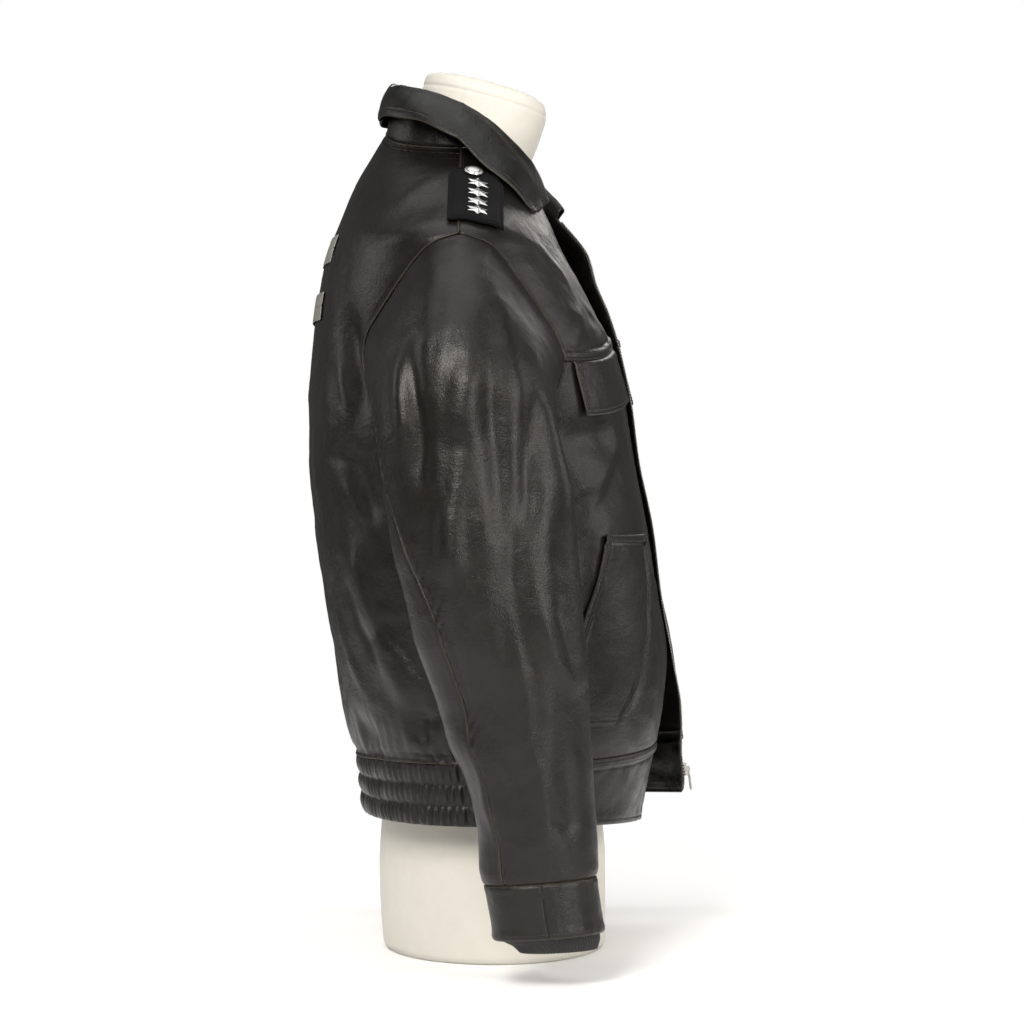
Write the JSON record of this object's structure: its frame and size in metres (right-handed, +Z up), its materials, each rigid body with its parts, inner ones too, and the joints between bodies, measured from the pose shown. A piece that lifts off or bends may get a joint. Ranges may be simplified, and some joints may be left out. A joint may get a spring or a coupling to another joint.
{
  "type": "leather jacket on a dress form",
  "caption": "Open black leather blouson with a fold-over collar, shoulder slides, slanted pockets, gathered waistband and knit cuffs, on a limbless linen form.",
  "frame": {"origin": "on the floor under the middle of the jacket, at the form's flat base", "axes": "+Z up, the front faces -Y, the wearer's right is -X"},
  "size_m": [0.7244, 0.3709, 0.8407],
  "materials": {
    "back_black_leather": "worn semi-gloss black leather",
    "back_yoke_black_leather": "worn semi-gloss black leather",
    "chest_flap_left_black_leather": "worn semi-gloss black leather",
    "chest_flap_right_black_leather": "worn semi-gloss black leather",
    "collar_black_leather": "worn semi-gloss black leather",
    "cuff_left_black_leather": "worn semi-gloss black leather",
    "cuff_right_black_leather": "worn semi-gloss black leather",
    "dress_form_linen": "off-white linen cover",
    "front_left_black_leather": "worn semi-gloss black leather",
    "front_right_black_leather": "worn semi-gloss black leather",
    "front_yoke_left_black_leather": "worn semi-gloss black leather",
    "front_yoke_right_black_leather": "worn semi-gloss black leather",
    "knit_cuff_left_black_knit": "ribbed black knit",
    "knit_cuff_right_black_knit": "ribbed black knit",
    "patch_pocket_left_black_leather": "worn semi-gloss black leather",
    "patch_pocket_right_black_leather": "worn semi-gloss black leather",
    "reflective_bar_lower_reflective_silver": "retroreflective silver film",
    "reflective_bar_upper_reflective_silver": "retroreflective silver film",
    "shoulder_slide_left_black_leather": "worn semi-gloss black leather",
    "shoulder_slide_right_black_leather": "worn semi-gloss black leather",
    "sleeve_top_left_black_leather": "worn semi-gloss black leather",
    "sleeve_top_right_black_leather": "worn semi-gloss black leather",
    "sleeve_under_left_black_leather": "worn semi-gloss black leather",
    "sleeve_under_right_black_leather": "worn semi-gloss black leather",
    "slide_button_left_silver_button": "plain silver",
    "slide_button_right_silver_button": "plain silver",
    "star_left_1_silver_star": "polished silver",
    "star_left_2_silver_star": "polished silver",
    "star_left_3_silver_star": "polished silver",
    "star_left_4_silver_star": "polished silver",
    "star_right_1_silver_star": "polished silver",
    "star_right_2_silver_star": "polished silver",
    "star_right_3_silver_star": "polished silver",
    "star_right_4_silver_star": "polished silver",
    "waistband_back_black_leather": "worn semi-gloss black leather",
    "waistband_front_left_black_leather": "worn semi-gloss black leather",
    "waistband_front_right_black_leather": "worn semi-gloss black leather",
    "zip_pull_zip_metal": "worn silver metal",
    "zip_slider_zip_metal": "worn silver metal",
    "zip_tape_left_zip_tape": "black woven tape",
    "zip_tape_right_zip_tape": "black woven tape"
  },
  "bodies": {
    "root": {"back": "back_black_leather", "back_yoke": "back_yoke_black_leather", "chest_flap_left": "chest_flap_left_black_leather", "chest_flap_right": "chest_flap_right_black_leather", "collar": "collar_black_leather", "cuff_left": "cuff_left_black_leather", "cuff_right": "cuff_right_black_leather", "dress_form": "dress_form_linen", "front_left": "front_left_black_leather", "front_right": "front_right_black_leather", "front_yoke_left": "front_yoke_left_black_leather", "front_yoke_right": "front_yoke_right_black_leather", "knit_cuff_left": "knit_cuff_left_black_knit", "knit_cuff_right": "knit_cuff_right_black_knit", "patch_pocket_left": "patch_pocket_left_black_leather", "patch_pocket_right": "patch_pocket_right_black_leather", "reflective_bar_lower": "reflective_bar_lower_reflective_silver", "reflective_bar_upper": "reflective_bar_upper_reflective_silver", "shoulder_slide_left": "shoulder_slide_left_black_leather", "shoulder_slide_right": "shoulder_slide_right_black_leather", "sleeve_top_left": "sleeve_top_left_black_leather", "sleeve_top_right": "sleeve_top_right_black_leather", "sleeve_under_left": "sleeve_under_left_black_leather", "sleeve_under_right": "sleeve_under_right_black_leather", "slide_button_left": "slide_button_left_silver_button", "slide_button_right": "slide_button_right_silver_button", "star_left_1": "star_left_1_silver_star", "star_left_2": "star_left_2_silver_star", "star_left_3": "star_left_3_silver_star", "star_left_4": "star_left_4_silver_star", "star_right_1": "star_right_1_silver_star", "star_right_2": "star_right_2_silver_star", "star_right_3": "star_right_3_silver_star", "star_right_4": "star_right_4_silver_star", "waistband_back": "waistband_back_black_leather", "waistband_front_left": "waistband_front_left_black_leather", "waistband_front_right": "waistband_front_right_black_leather", "zip_slider": "zip_slider_zip_metal", "zip_tape_left": "zip_tape_left_zip_tape", "zip_tape_right": "zip_tape_right_zip_tape"},
    "pull_tab": {"zip_pull": "zip_pull_zip_metal"}
  },
  "joints": [
    {"name": "pull_tab_swing", "type": "hinge", "parent": "root", "child": "pull_tab", "pos_m": [0.03551, -0.18439, 0.16655], "axis": [-0.9923, -0.0999, -0.0738], "range_deg": [0, 140]}
  ]
}
